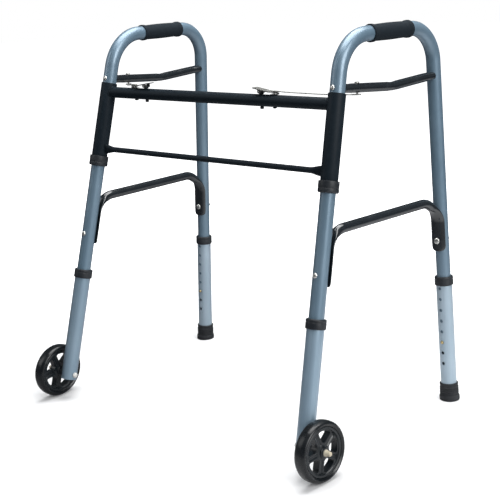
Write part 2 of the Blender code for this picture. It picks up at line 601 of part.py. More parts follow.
def wheel(tag, side, ext):
    axle = axle_point()
    centre = axle + OUT * WHEEL_OFFSET
    finish(f"tyre_{tag}", revolve(centre, OUT, TYRE, 32, hollow=True, ref=UP_F), "tyre_black", centre, side)
    finish(f"wheel_hub_{tag}", wheel_disc(centre, OUT), "black_plastic", centre, side)
    lead, face = EXT_R + 0.45, WHEEL_OFFSET + HUB_HALF + 0.4
    finish(f"axle_bolt_{tag}", revolve(axle, OUT, [
        (4.6, -lead - 5.4), (6.4, -lead - 4.2), (6.4, -lead), (AXLE_R, -lead + 0.05), (AXLE_R, face),
        (8.0, face + 0.05), (8.0, face + 2.4), (6.6, face + 2.45), (6.6, face + 5.4), (5.3, face + 5.45),
        (5.3, face + 14.4), (3.6, face + 16.4)], 12),
        "ivory_plastic", axle, side)
    finish(f"axle_spacer_{tag}", revolve(axle, OUT, [
        (8.6, lead), (8.6, WHEEL_OFFSET - HUB_HALF - 0.4), (AXLE_R + 0.4, WHEEL_OFFSET - HUB_HALF - 0.4), (AXLE_R + 0.4, lead)],
        12, hollow=True), "black_plastic", axle, side)
    boolean(ext, finish(f"cut_axle_{tag}", rod(axle, OUT, AXLE_R + 0.4, -30, 30, 12), None, axle, side, cutter=True))


front_frame()
for which in (1, -1):
    side_frame(which)
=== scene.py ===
"""Folding walking frame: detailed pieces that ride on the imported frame's bodies.

Sizes are in millimetres and repeat the frame's own, but for the wheel tread; meshes are written in
metres.  Each side is drawn for the +X side frame, and side -1 mirrors it across X = 0.
"""
import math

import bmesh
import bpy
from mathutils import Matrix, Vector


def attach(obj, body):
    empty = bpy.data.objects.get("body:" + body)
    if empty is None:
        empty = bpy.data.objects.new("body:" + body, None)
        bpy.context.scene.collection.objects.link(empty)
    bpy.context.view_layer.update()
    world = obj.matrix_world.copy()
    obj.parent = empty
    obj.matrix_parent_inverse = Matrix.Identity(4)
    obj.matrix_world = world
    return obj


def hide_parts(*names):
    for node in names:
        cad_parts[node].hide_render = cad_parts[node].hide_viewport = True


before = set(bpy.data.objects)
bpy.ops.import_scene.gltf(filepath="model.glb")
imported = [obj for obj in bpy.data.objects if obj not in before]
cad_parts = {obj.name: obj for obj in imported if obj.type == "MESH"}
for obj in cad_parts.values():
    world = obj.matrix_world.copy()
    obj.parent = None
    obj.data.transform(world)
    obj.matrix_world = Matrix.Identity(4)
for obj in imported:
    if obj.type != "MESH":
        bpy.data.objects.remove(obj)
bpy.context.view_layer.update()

# ---------------------------------------------------------------- driving sizes (mm), as in the frame
MM = 0.001                     # metres in a millimetre
GRIP_HEIGHT = 850.0
TUBE_R, TUBE_BORE = 15.875, 14.275
EXT_R, EXT_BORE = 18.15, 16.5
SLEEVE_R, SLEEVE_BORE = 18.2, 16.5
BEND_R = (95.0, 73.0)
FRONT_FOOT, FRONT_SLOPE = (371.4, -247.3), 0.2694
REAR_FOOT_Y, REAR_SLOPE = 261.3, 0.020
PLANE_TOE, PLANE_LEAN = 0.0530, 0.0545
SLEEVE_Z = (565.0, 741.0)
SLEEVE_COLLAR_Z = (551.0, 574.0)
BAR_Z, BAR_R = 720.6, 12.7
LOW_BAR_Z, LOW_BAR_R = 591.0, 6.35
GRIP_Y, GRIP_LENGTH, GRIP_R = 130.0, 130.0, 17.4
BRACE_FRONT_Z, BRACE_BEND, BRACE_REAR_Z = 752.0, (124.7, 737.0), 744.5
BRACE_A, BRACE_B = 10.0, 9.6
LOWER_R, LOWER_Z, LOWER_END_Z = 10.5, (478.0, 470.0), (371.0, 355.0)
LOWER_BOLT_Z, UPPER_BOLT_Z = (392.0, 378.0), (750.0, 744.0)
LOWER_BEND_R = 50.0
HOLE_PITCH, HOLE_COUNT, HOLE_R = 25.4, 8, 4.0
BUTTON_Z, EXT_TOP_Z = (156.0, 140.4), (306.5, 291.0)
EXT_BOTTOM_Z, TUBE_END_Z = (50.0, 13.0), (133.0, 120.0)
WHEEL_R, WHEEL_OFFSET, AXLE_R = 63.2, 41.0, 4.0    # tread drawn 0.3 under the frame's 63.5
AXLE_Z = 61.467                # height where the axle's line meets the front leg's axis
HUB_HALF, LEVER_SLOPE = 13.0, 0.16
TIP_HEIGHT, TIP_TOP_R, TIP_BASE_R = 41.0, 21.2, 23.4
LEVER = {1: (145.5, 181.0), -1: (208.0, 243.5)}
STUD_BACK = 67.0
STRIP_T, EYE_GAP = 1.8, 0.95   # lock bar thickness, and its eye's drop below the latch stud's tip
PRESS_R, PRESS_HALF, PRESS_T = 30.0, 38.0, 1.65   # pressed end: hollow radius, half angle (degrees), half thickness
# share of a pressed end's full width, against the distance from its tip
TOE = ((0.0, 0.36), (0.7, 0.56), (2.2, 0.74), (4.6, 0.88), (8.0, 0.96), (13.0, 1.0), (30.0, 1.0))
ROUND = 48                     # sides of a tube


def plane_x(y, z):
    return FRONT_FOOT[0] + PLANE_TOE * (y - FRONT_FOOT[1]) - PLANE_LEAN * z


def in_plane(y, z):
    return Vector((plane_x(y, z), y, z))


def front_leg(z):
    return in_plane(FRONT_FOOT[1] + FRONT_SLOPE * z, z)


def rear_leg(z):
    return in_plane(REAR_FOOT_Y + REAR_SLOPE * z, z)


UP = Vector((0, 0, 1))
OUT = Vector((1.0, -PLANE_TOE, PLANE_LEAN)).normalized()
UP_F = (front_leg(850) - front_leg(0)).normalized()
UP_R = (rear_leg(850) - rear_leg(0)).normalized()
BACK_F = UP_F.cross(OUT).normalized()
BACK_R = UP_R.cross(OUT).normalized()
BAR_Y = front_leg(BAR_Z).y


# ---------------------------------------------------------------- materials
class Look:
    """A Principled material with a few helpers for its node tree."""

    def __init__(self, name, colour, metallic=0.0, roughness=0.5, **sockets):
        self.mat = bpy.data.materials.new(name)
        self.mat.use_nodes = True
        self.tree = self.mat.node_tree
        self.shader = self.tree.nodes["Principled BSDF"]
        self.put("Base Color", (*colour, 1.0))
        self.put("Metallic", metallic)
        self.put("Roughness", roughness)
        for key, value in sockets.items():
            self.put(key.replace("_", " ").title().replace("Ior", "IOR"), value)
        self.place = self.node("ShaderNodeTexCoord").outputs["Object"]

    def put(self, socket, value):
        self.shader.inputs[socket].default_value = value

    def node(self, kind, **settings):
        made = self.tree.nodes.new(kind)
        for key, value in settings.items():
            setattr(made, key, value)
        return made

    def link(self, source, target):
        self.tree.links.new(source, target)

    def grain(self, around, along):
        """Coordinates that run round and along a tube, scaled apart."""
        attribute = self.node("ShaderNodeAttribute", attribute_name="grain")
        scale = self.node("ShaderNodeVectorMath", operation="MULTIPLY")
        scale.inputs[1].default_value = (around, around, along)
        self.link(attribute.outputs["Vector"], scale.inputs[0])
        return scale.outputs[0]

    def noise(self, scale, detail=3.0, rough=0.5, where=None):
        made = self.node("ShaderNodeTexNoise")
        made.inputs["Scale"].default_value = scale
        made.inputs["Detail"].default_value = detail
        made.inputs["Roughness"].default_value = rough
        self.link(where or self.place, made.inputs["Vector"])
        return made.outputs["Fac"]

    def span(self, value, lo, hi, low=0.3, high=0.7):
        made = self.node("ShaderNodeMapRange")
        for key, number in zip(("From Min", "From Max", "To Min", "To Max"), (low, high, lo, hi)):
            made.inputs[key].default_value = number
        self.link(value, made.inputs["Value"])
        return made.outputs["Result"]

    def blend(self, factor, dark, light):
        made = self.node("ShaderNodeMix", data_type="RGBA")
        made.inputs["Factor"].default_value = 0.5
        self.link(factor, made.inputs["Factor"])
        for socket, colour in ((made.inputs[6], dark), (made.inputs[7], light)):
            if isinstance(colour, tuple):
                socket.default_value = (*colour, 1.0)
            else:
                self.link(colour, socket)
        return made.outputs[2]

    def add(self, one, two, weight=0.5):
        made = self.node("ShaderNodeMix", data_type="FLOAT")
        made.inputs["Factor"].default_value = weight
        self.link(one, made.inputs[2])
        self.link(two, made.inputs[3])
        return made.outputs[0]

    def colour(self, source):
        self.link(source, self.shader.inputs["Base Color"])

    def rough(self, source):
        self.link(source, self.shader.inputs["Roughness"])

    def bump(self, height, distance, strength=1.0):
        made = self.node("ShaderNodeBump")
        made.inputs["Strength"].default_value = strength
        made.inputs["Distance"].default_value = distance
        self.link(height, made.inputs["Height"])
        self.link(made.outputs["Normal"], self.shader.inputs["Normal"])


def anodised(name, dark, light):
    """Drawn alloy tube: long die lines, a soft mottle and a few rubbed patches."""
    look = Look(name, light, 0.32, 0.40, coat_weight=0.65, coat_roughness=0.24)
    lines = look.noise(1.0, 4.0, 0.6, look.grain(26.0, 3.0))
    cloud = look.noise(9.0, 2.0)
    mix = look.add(lines, cloud, 0.45)
    look.colour(look.blend(look.span(mix, 0.0, 1.0, 0.36, 0.64), dark, light))
    look.rough(look.span(look.add(lines, look.noise(70.0, 3.0), 0.5), 0.33, 0.46, 0.35, 0.65))
    look.bump(lines, 0.00006, 0.5)
    return look.mat


def coated(name, colour, light, gloss, shine):
    """Semi-gloss powder coat with orange peel and faint scuffs."""
    look = Look(name, colour, 0.0, 0.30, specular_ior_level=shine)
    peel = look.noise(620.0, 2.0, 0.45)
    scuff = look.noise(38.0, 6.0, 0.7)
    look.colour(look.blend(look.span(scuff, 0.0, 1.0, 0.50, 0.75), colour, light))
    look.rough(look.span(scuff, *gloss, 0.40, 0.70))
    look.bump(peel, 0.00004, 0.25)
    return look.mat


def foam(name, dark, light):
    """Closed-cell foam: skin with fine pores and shallow dimples."""
    look = Look(name, dark, 0.0, 0.9, specular_ior_level=0.22)
    pores = look.node("ShaderNodeTexVoronoi")
    pores.inputs["Scale"].default_value = 1100.0
    look.link(look.place, pores.inputs["Vector"])
    soft = look.noise(160.0, 5.0, 0.65)
    both = look.add(pores.outputs["Distance"], soft, 0.55)
    look.colour(look.blend(look.span(both, 0.0, 1.0, 0.25, 0.62), dark, light))
    look.rough(look.span(soft, 0.82, 0.98))
    look.bump(both, 0.0005, 0.6)
    return look.mat


def moulded(name, colour, light, gloss=(0.38, 0.52), grit=900.0, depth=0.00008, shine=0.4):
    """Moulded plastic or rubber with a fine etched skin and a light bloom."""
    look = Look(name, colour, 0.0, 0.5, specular_ior_level=shine)
    skin = look.noise(grit, 3.0, 0.6)
    bloom = look.noise(34.0, 4.0, 0.6)
    look.colour(look.blend(look.span(bloom, 0.0, 1.0, 0.42, 0.80), colour, light))
    look.rough(look.span(bloom, *gloss))
    look.bump(skin, depth, 0.6)
    return look.mat


def axle_look():
    """Ivory cap with a dark washer and nut behind it, and a plated head at the inner end."""
    look = Look("ivory_axle_cap", (0.60, 0.55, 0.42), 0.0, 0.4)
    split = look.node("ShaderNodeSeparateXYZ")
    look.link(look.node("ShaderNodeAttribute", attribute_name="grain").outputs["Vector"], split.inputs[0])
    face = (WHEEL_OFFSET + HUB_HALF + 0.4) * MM
    cap = look.blend(look.span(look.noise(60.0, 4.0, 0.6), 0.0, 1.0, 0.4, 0.7), (0.52, 0.46, 0.34), (0.70, 0.65, 0.52))
    nut = look.blend(look.span(split.outputs["Z"], 0.0, 1.0, face + 0.0022, face + 0.0026), (0.05, 0.055, 0.06), cap)
    look.colour(look.blend(look.span(split.outputs["Z"], 0.0, 1.0, -0.002, 0.002), (0.66, 0.66, 0.63), nut))
    look.rough(look.span(look.noise(34.0, 4.0, 0.6), 0.30, 0.45))
    look.bump(look.noise(600.0, 3.0, 0.6), 0.00006, 0.6)
    return look.mat


def plated(name, dark, light, gloss=(0.22, 0.40), metallic=1.0):
    """Zinc-plated steel or brass with fine brushing and dull spots."""
    look = Look(name, light, metallic, 0.3)
    brush = look.noise(420.0, 4.0, 0.6)
    spots = look.noise(90.0, 5.0, 0.6)
    look.colour(look.blend(look.span(look.add(brush, spots, 0.6), 0.0, 1.0, 0.35, 0.65), dark, light))
    look.rough(look.span(spots, *gloss))
    look.bump(brush, 0.00005, 0.4)
    return look.mat


LOOKS = {
    "blue": anodised("blue_anodised_tube", (0.120, 0.196, 0.262), (0.172, 0.256, 0.330)),
    # The front and rear extensions share one pale blue: the front copy is painted darker as painted shade, the rear
    # copy lighter as painted light from the floor.
    "front_ext_blue_painted_darker": anodised("front_extension_tube_painted_darker", (0.205, 0.298, 0.380), (0.275, 0.376, 0.462)),
    "rear_ext_blue_painted_lighter": anodised("rear_extension_tube_painted_lighter", (0.320, 0.425, 0.510), (0.425, 0.530, 0.610)),
    "black": coated("black_powder_coat", (0.0080, 0.0135, 0.0190), (0.0125, 0.0185, 0.0245), (0.46, 0.56), 0.13),
    "gloss": coated("black_gloss_coat", (0.0080, 0.0115, 0.0145), (0.016, 0.020, 0.024), (0.15, 0.22), 1.0),
    "foam": foam("grey_foam_skin", (0.0035, 0.0065, 0.0095), (0.011, 0.0175, 0.024)),
    "plastic": moulded("black_moulded_plastic", (0.012, 0.015, 0.019), (0.030, 0.034, 0.038)),
    "hub": moulded("black_hub_plastic", (0.0055, 0.0085, 0.0110), (0.012, 0.0155, 0.0185), (0.24, 0.36), 700.0),
    "rubber": moulded("black_ribbed_rubber", (0.014, 0.016, 0.019), (0.040, 0.043, 0.046), (0.62, 0.80),
                      520.0, 0.00014),
    "tyre": moulded("solid_black_tyre", (0.0040, 0.0055, 0.0070), (0.0095, 0.0115, 0.0135), (0.20, 0.34), 480.0),
    "steel": plated("bright_plated_steel", (0.46, 0.46, 0.44), (0.66, 0.66, 0.63)),
    "satin": plated("satin_plated_steel", (0.30, 0.30, 0.29), (0.52, 0.52, 0.49), (0.30, 0.46)),
    # The lock bar is satin plated steel like the pins; its colour is painted lighter as painted light where it faces
    # the lamps.
    "strip": plated("lock_strip_steel_painted_lighter", (0.42, 0.42, 0.40), (0.60, 0.60, 0.57), (0.35, 0.50), 0.6),
    "paddle": plated("satin_plated_lever", (0.20, 0.20, 0.19), (0.30, 0.30, 0.28), (0.42, 0.54)),
    "brass": plated("pale_brass", (0.46, 0.35, 0.16), (0.68, 0.55, 0.30), (0.25, 0.42)),
    "ivory": axle_look(),
}


# ---------------------------------------------------------------- mesh helpers
def new_bm():
    bm = bmesh.new()
    bm.verts.layers.float_vector.new("grain")
    return bm


def ring(bm, centre, a, b, ra, rb, sides, along=0.0, power=2.0, hexagon=False):
    """One ring of vertices; power over 2 squares it off, and a hexagon has ra as its half width."""
    grain = bm.verts.layers.float_vector["grain"]
    out = []
    for k in range(sides):
        t = 2 * math.pi * k / sides
        c, s = math.cos(t), math.sin(t)
        if hexagon:
            reach = 1.0 / math.cos(t % (math.pi / 3) - math.pi / 6)
            x, y = ra * reach * c, rb * reach * s
        else:
            e = 2.0 / power
            x = ra * math.copysign(abs(c) ** e, c)
            y = rb * math.copysign(abs(s) ** e, s)
        v = bm.verts.new(centre + a * x + b * y)
        v[grain] = (c, s, along * MM)
        out.append(v)
    return out


def bridge(bm, one, two):
    n = len(one)
    for k in range(n):
        bm.faces.new((one[k], one[(k + 1) % n], two[(k + 1) % n], two[k]))


def soften(points, radius, closed=False, steps=3):
    """Round each corner of a profile with a short curve."""
    pts = [Vector(p) for p in points]
    n = len(pts)
    out = []
    for i, p in enumerate(pts):
        if not closed and i in (0, n - 1):
            out.append(p)
            continue
        q, r = pts[i - 1] - p, pts[(i + 1) % n] - p
        cut = min(radius, 0.45 * q.length, 0.45 * r.length)
        if cut < 1e-6 or abs(q.normalized().dot(r.normalized())) > 0.9995:
            out.append(p)
            continue
        a, b = p + q.normalized() * cut, p + r.normalized() * cut
        for k in range(steps + 1):
            t = k / steps
            out.append(a * (1 - t) ** 2 + p * (2 * t * (1 - t)) + b * t ** 2)
    return [(v.x, v.y) for v in out]


def turned(base, axis, profile, sides=ROUND, hollow=False, ref=None, soft=0.5, bm=None, hexes=()):
    """Turn (radius, height) pairs round an axis; heights between a pair in hexes are six-sided."""
    bm = bm or new_bm()
    axis = Vector(axis).normalized()
    a = Vector(ref) if ref is not None else (OUT if abs(axis.dot(OUT)) < 0.9 else Vector((0, 1, 0)))
    a = (a - axis * a.dot(axis)).normalized()
    b = axis.cross(a)
    if soft:
        profile = soften(profile, soft, hollow)
    rings = []
    for r, h in profile:
        flat = any(lo - 1e-3 <= h <= hi + 1e-3 and r > inner for lo, hi, inner in hexes)
        rings.append(ring(bm, Vector(base) + axis * h, a, b, r, r, sides, h, hexagon=flat))
    for i in range(len(rings) - 1):
        bridge(bm, rings[i], rings[i + 1])
    if hollow:
        bridge(bm, rings[-1], rings[0])
    else:
        bm.faces.new(rings[0][::-1])
        bm.faces.new(rings[-1])
    return bm


def rod(base, axis, radius, start, end, sides=20, bm=None):
    return turned(base, axis, [(radius, start), (radius, end)], sides, soft=0, bm=bm)


def fillet(points, radii, step=4.0):
    """Round the inner corners of a polyline, each with its own radius, step degrees a segment."""
    out = [Vector(points[0])]
    for i in range(1, len(points) - 1):
        p, q, r = Vector(points[i - 1]), Vector(points[i]), Vector(points[i + 1])
        d1, d2 = (p - q).normalized(), (r - q).normalized()
        inner = d1.angle(d2)
        reach = radii[i - 1] / math.tan(inner / 2)
        a, b = q + d1 * reach, q + d2 * reach
        centre = q + (d1 + d2).normalized() * (radii[i - 1] / math.sin(inner / 2))
        count = max(3, round(math.degrees(math.pi - inner) / step))
        va, vb = a - centre, b - centre
        whole = va.angle(vb)
        for k in range(count + 1):
            t = k / count
            out.append(centre + (va * math.sin((1 - t) * whole) + vb * math.sin(t * whole)) / math.sin(whole))
    out.append(Vector(points[-1]))
    return out


def tangents(path, closed=False):
    out = []
    n = len(path)
    for i, p in enumerate(path):
        if closed:
            t = (path[(i + 1) % n] - p).normalized() + (p - path[i - 1]).normalized()
        elif i == 0:
            t = path[1] - p
        elif i == n - 1:
            t = p - path[i - 1]
        else:
            t = (path[i + 1] - p).normalized() + (p - path[i - 1]).normalized()
        out.append(t.normalized())
    return out


def sweep(path, normal, sections, sides=ROUND, bore=None, bm=None):
    """Sweep a section along a flat path; sections give (half width, half height, power) for each point."""
    bm = bm or new_bm()
    outer, inner, run = [], [], 0.0
    for i, (p, t, (ra, rb, power)) in enumerate(zip(path, tangents(path), sections)):
        run += (p - path[i - 1]).length if i else 0.0
        b = t.cross(normal).normalized()
        outer.append(ring(bm, p, normal, b, ra, rb, sides, run, power))
        if bore:
            inner.append(ring(bm, p, normal, b, bore, bore, sides, run))
    for i in range(len(path) - 1):
        bridge(bm, outer[i], outer[i + 1])
        if bore:
            bridge(bm, inner[i + 1], inner[i])
    if bore:
        bridge(bm, inner[0], outer[0])
        bridge(bm, outer[-1], inner[-1])
    else:
        bm.faces.new(outer[0][::-1])
        bm.faces.new(outer[-1])
    bmesh.ops.recalc_face_normals(bm, faces=bm.faces[:])
    return bm


def slab(rows, bm=None):
    """Loft rectangles given as four corner points each."""
    bm = bm or new_bm()
    rings = [[bm.verts.new(Vector(c)) for c in row] for row in rows]
    for i in range(len(rings) - 1):
        bridge(bm, rings[i], rings[i + 1])
    bm.faces.new(rings[0][::-1])
    bm.faces.new(rings[-1])
    bmesh.ops.recalc_face_normals(bm, faces=bm.faces[:])
    return bm


def mesh_from(bm, name, side):
    if side < 0:
        for v in bm.verts:
            v.co.x = -v.co.x
        bmesh.ops.reverse_faces(bm, faces=bm.faces[:])
    for v in bm.verts:
        v.co *= MM
    bm.normal_update()
    if bm.calc_volume(signed=True) < 0:
        bmesh.ops.reverse_faces(bm, faces=bm.faces[:])
    mesh = bpy.data.meshes.new(name)
    bm.to_mesh(mesh)
    bm.free()
    return mesh


def combine(obj, bm, side, operation="DIFFERENCE"):
    """Cut a second mesh out of an object, or join it on, and keep the result."""
    other = bpy.data.objects.new("tool", mesh_from(bm, "tool", side))
    bpy.context.scene.collection.objects.link(other)
    mod = obj.modifiers.new("tool", "BOOLEAN")
    mod.operation, mod.solver, mod.object = operation, "EXACT", other
    bpy.context.view_layer.update()
    done = bpy.data.meshes.new_from_object(obj.evaluated_get(bpy.context.evaluated_depsgraph_get()))
    obj.modifiers.remove(mod)
    old, obj.data = obj.data, done
    bpy.data.meshes.remove(old)
    spare = other.data
    bpy.data.objects.remove(other)
    bpy.data.meshes.remove(spare)


def piece(name, bm, look, body, node, side=1, cuts=(), joins=(), bevel=0.0, angle=38.0):
    """Write a bmesh as a finished piece that stands for a node and rides on a body."""
    obj = bpy.data.objects.new(name, mesh_from(bm, name, side))
    bpy.context.scene.collection.objects.link(obj)
    for other in joins:
        combine(obj, other, side, "UNION")
    for other in cuts:
        combine(obj, other, side)
    obj.data.materials.clear()
    obj.data.materials.append(LOOKS[look])
    obj.data.shade_smooth()
    obj.data.set_sharp_from_angle(angle=math.radians(angle))
    if bevel:
        mod = obj.modifiers.new("edge", "BEVEL")
        mod.width, mod.segments, mod.limit_method = bevel * MM, 3, "ANGLE"
        mod.angle_limit = math.radians(28)
        mod.use_clamp_overlap = True
    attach(obj, body)
    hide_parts(node)
    return obj


def tag_of(side):
    return "right" if side > 0 else "left"


# ---------------------------------------------------------------- front frame
def weld_bead(radius, height, bead):
    """A rippled bead round the joint of a crossbar and a sleeve."""
    centre = front_leg(height)
    foot = front_leg(0)
    steps = 64
    path = []
    for k in range(steps):
        t = 2 * math.pi * k / steps
        dy, dz = radius * math.sin(t), radius * math.cos(t)
        lo, hi = centre.x - SLEEVE_R - 14, centre.x
        for _ in range(40):
            x = (lo + hi) / 2
            d = Vector((x, centre.y + dy, height + dz)) - foot
            away = (d - UP_F * d.dot(UP_F)).length
            lo, hi = (x, hi) if away > SLEEVE_R else (lo, x)
        path.append(Vector((lo, centre.y + dy, height + dz)))
    bm = new_bm()
    rings = []
    for k, (p, t) in enumerate(zip(path, tangents(path, True))):
        away = Vector((0, p.y - centre.y, p.z - height)).normalized()
        b = t.cross(away).normalized()
        r = bead * (1.0 + 0.10 * math.sin(k * 2 * math.pi * 16 / steps))
        rings.append(ring(bm, p, away, b, r, r, 10, k))
    for k in range(steps):
        bridge(bm, rings[k], rings[(k + 1) % steps])
    bmesh.ops.recalc_face_normals(bm, faces=bm.faces[:])
    return bm


def sleeve_copes(height):
    """Cutter that shapes a crossbar's two ends to the pivot sleeves."""
    copes = new_bm()
    for side in (1, -1):
        foot = front_leg(height)
        turned((foot.x * side, foot.y, foot.z), (UP_F.x * side, UP_F.y, UP_F.z),
               [(SLEEVE_R - 0.7, -60), (SLEEVE_R - 0.7, 60)], ROUND, soft=0, bm=copes)
    return copes


def front_frame():
    half = front_leg(BAR_Z).x
    ends = [(BAR_R, -half), (BAR_R, half), (BAR_R - 1.6, half), (BAR_R - 1.6, -half)]
    piece("crossbar_upper", turned((0, BAR_Y, BAR_Z), (1, 0, 0), ends, ROUND, True, (0, 0, 1), 0.0),
          "black", "front_frame", "upper_crossbar", cuts=[sleeve_copes(BAR_Z)])
    low = front_leg(LOW_BAR_Z)
    reach = low.x - 6.0
    # flattened end: distance from it, half width, half height, squareness
    marks = [(0.0, 2.9, 12.2, 3.2), (8.0, 2.9, 12.0, 3.0), (18.0, 3.3, 11.0, 2.7), (28.0, 4.2, 9.2, 2.3),
             (36.0, 5.3, 7.4, 2.1), (43.0, LOW_BAR_R, LOW_BAR_R, 2.0)]
    line = [(-reach + m[0], m[1:]) for m in marks] + [(reach - m[0], m[1:]) for m in reversed(marks)]
    piece("crossbar_lower", sweep([Vector((x, low.y, LOW_BAR_Z)) for x, _ in line], Vector((0, 1, 0)),
                                  [s for _, s in line], 32),
          "black", "front_frame", "lower_crossbar", cuts=[sleeve_copes(LOW_BAR_Z)])
    for side in (1, -1):
        tag = tag_of(side)
        lo, hi = (front_leg(z) for z in SLEEVE_Z)
        length = (hi - lo).length
        piece(f"sleeve_{tag}", turned(lo, UP_F, [
            (SLEEVE_R, 0), (SLEEVE_R, length), (SLEEVE_BORE, length), (SLEEVE_BORE, 0)], ROUND, True, soft=0.5),
            "black", "front_frame", f"pivot_sleeve_{tag}", side,
            joins=[weld_bead(BAR_R, BAR_Z, 1.5)])
        release(side)


def slot_cut(centre, axis, across, reach, half=0.55, depth=1.2):
    """A screwdriver slot."""
    axis, across = Vector(axis).normalized(), Vector(across).normalized()
    other = axis.cross(across)
    rows = []
    for k in (-1, 1):
        p = Vector(centre) + across * (reach * k)
        rows.append([p - other * half - axis * depth, p + other * half - axis * depth,
                     p + other * half + axis * 3, p - other * half + axis * 3])
    return slab(rows)


# ---------------------------------------------------------------- release lever
def release(side):
    tag = tag_of(side)
    hinge_x, rivet_x = LEVER[side]
    y = BAR_Y
    top, bottom = BAR_Z + BAR_R, BAR_Z - BAR_R
    hinge_z = top + 5.0
    along = Vector((0, 1, 0))
    body, root = f"lever_{tag}", "front_frame"
    piece(f"post_{tag}", turned((hinge_x, y, bottom), UP, [
        (1.5, -5.6), (3.2, -5.3), (4.0, -4.4), (4.2, -2.2), (3.8, -0.4), (2.9, -0.3), (2.9, 25.6), (5.2, 25.7),
        (5.2, 32.6), (4.4, 33.4)], 32, soft=0.7), "plastic", root, f"hinge_post_{tag}", side,
        cuts=[rod((hinge_x, y, hinge_z), along, 1.6, -12, 12)])
    piece(f"pin_{tag}", turned((hinge_x, y, hinge_z), along, [
        (1.6, -9.8), (2.4, -9.5), (2.6, -9.0), (2.6, -8.2), (1.45, -8.1), (1.45, 8.1), (2.6, 8.2), (2.6, 9.0),
        (2.4, 9.5), (1.6, 9.8)], 20, soft=0.3), "satin", root, f"lever_pin_{tag}", side)
    curve = fillet([(rivet_x - 8, y, top + 0.9), (rivet_x + 10.4, y, top + 0.9), (rivet_x + 10.2, y, top + 3.9),
                    (rivet_x - 4, y, top + 3.4)], [1.3, 1.3], 14.0)
    piece(f"spring_{tag}", sweep(curve, along, [(4.6, 0.42, 8.0)] * len(curve), 16), "satin", root,
          f"leaf_spring_{tag}", side)
    piece(f"rivet_{tag}", turned((rivet_x, y, bottom), UP, [
        (1.2, -3.0), (3.2, -2.6), (4.5, -1.4), (4.6, -0.3), (2.3, -0.2), (2.3, 26.6), (3.9, 26.7), (3.6, 27.3),
        (2.0, 27.7)], 24, soft=0.4), "black", root, f"spring_rivet_{tag}", side)
    # lever: sloping pressed plate, two ears turned down on the pin
    rows = []
    for dx, drop, half in ((-19.8, 0.7, 6.2), (-19.2, 0.2, 7.0), (-18.0, 0.0, 7.9), (-16.5, 0.0, 8.9),
                           (-14.0, 0.0, 9.4), (0.0, 0.0, 9.5), (14.0, 0.0, 9.5), (24.0, 0.0, 9.5),
                           (27.0, 0.0, 9.2), (29.0, 0.0, 7.9), (31.5, 0.0, 6.5), (38.0, 0.0, 5.9),
                           (45.0, 0.0, 5.5), (45.8, 0.3, 4.8)):
        x, hi = hinge_x + dx, top + 14.6 - LEVER_SLOPE * (min(dx, 28.0) + 20.0)
        rows.append([(x, y - half, hi - 2 + drop), (x, y + half, hi - 2 + drop),
                     (x, y + half, hi - drop * 0.4), (x, y - half, hi - drop * 0.4)])
    ears = []
    for k in (-1, 1):
        lo, hi = y + min(k * 6.1, k * 7.7), y + max(k * 6.1, k * 7.7)
        ears.append(slab([[(hinge_x - w, lo, top + z), (hinge_x + w, lo, top + z), (hinge_x + w, hi, top + z),
                           (hinge_x - w, hi, top + z)] for z, w in ((2.2, 2.4), (3.0, 3.9), (4.4, 4.8), (10.4, 4.8))]))
    piece(f"paddle_{tag}", slab(rows), "paddle", body, f"release_paddle_{tag}", side,
          cuts=[rod((hinge_x, y, hinge_z), along, 1.6, -9, 9)], joins=ears, bevel=0.45, angle=30)
    # lock bar: a flat strip from the lever to its eye under the latch stud
    stud = stud_base()
    start = hinge_x + 34.0
    lie = [(start, 0.0, 7.2), (start + 7, 0.0, 7.2), (start + 13, 0.0, 7.1), (start + 19, 1.4, 6.4),
           (start + 24, 3.0, 5.6)]
    far = Vector((stud.x, stud.y - y, STUD_TIP_Z - EYE_GAP - STRIP_T - top))
    here = Vector(lie[-1])
    for t, k in ((0.12, 0.20), (0.25, 0.40), (0.37, 0.57), (0.5, 0.74), (0.62, 0.86), (0.72, 0.94), (0.86, 0.98),
                 (0.94, 1.0), (1.0, 1.0)):
        p = here + (far - here) * t
        lie.append((p.x, p.y, here.z + (far.z - here.z) * k))
    ahead = Vector(lie[-1]) - Vector(lie[-2])
    ahead.z = 0
    ahead.normalize()
    eye = Vector(lie[-1])
    for reach in (3.0, 5.6, 7.4, 8.0):
        lie.append(tuple(eye + ahead * reach))
    widths = [3.6] + [4.4] * 4 + [4.6] * 6 + [5.2, 6.6, 7.4, 7.2, 6.0, 4.2, 1.6]
    rows = []
    for i, (x, dy, dz) in enumerate(lie):
        a, b = Vector(lie[max(i - 1, 0)]), Vector(lie[min(i + 1, len(lie) - 1)])
        flow = Vector((b.x - a.x, b.y - a.y, 0)).normalized()
        cross = Vector((-flow.y, flow.x, 0))
        half = widths[i]
        c = Vector((x, y + dy, top + dz))
        rows.append([c - cross * half, c + cross * half,
                     c + cross * half + UP * STRIP_T, c - cross * half + UP * STRIP_T])
    # the strip look is plated steel painted lighter, painted light
    piece(f"lock_{tag}", slab(rows), "strip", body, f"lock_bar_{tag}", side,
          cuts=[rod((stud.x, stud.y, stud.z), -UP, 3.8, -30, 30, 24)], bevel=0.4, angle=30)


def pressed_ring(bm, centre, away, press, width, run):
    """Ring of the lower brace: a circle when press is 0, a hollowed flat when it is 1."""
    grain = bm.verts.layers.float_vector["grain"]
    count, out = 40, []
    for k in range(count):
        t = 2 * math.pi * (k + 0.5) / count
        c, s = math.cos(t), math.sin(t)
        whole = OUT * (LOWER_R * c) + away * (LOWER_R * s)
        u = math.radians(PRESS_HALF * width) * math.copysign(abs(c) ** 0.7, c)
        r = PRESS_R + PRESS_T * math.copysign(abs(s) ** 0.4, s)
        flat = OUT * (r * math.sin(u)) + away * (r * math.cos(u) - PRESS_R)
        v = bm.verts.new(centre + whole * (1 - press) + flat * press)
        v[grain] = (c, s, run * MM)
        out.append(v)
    return out


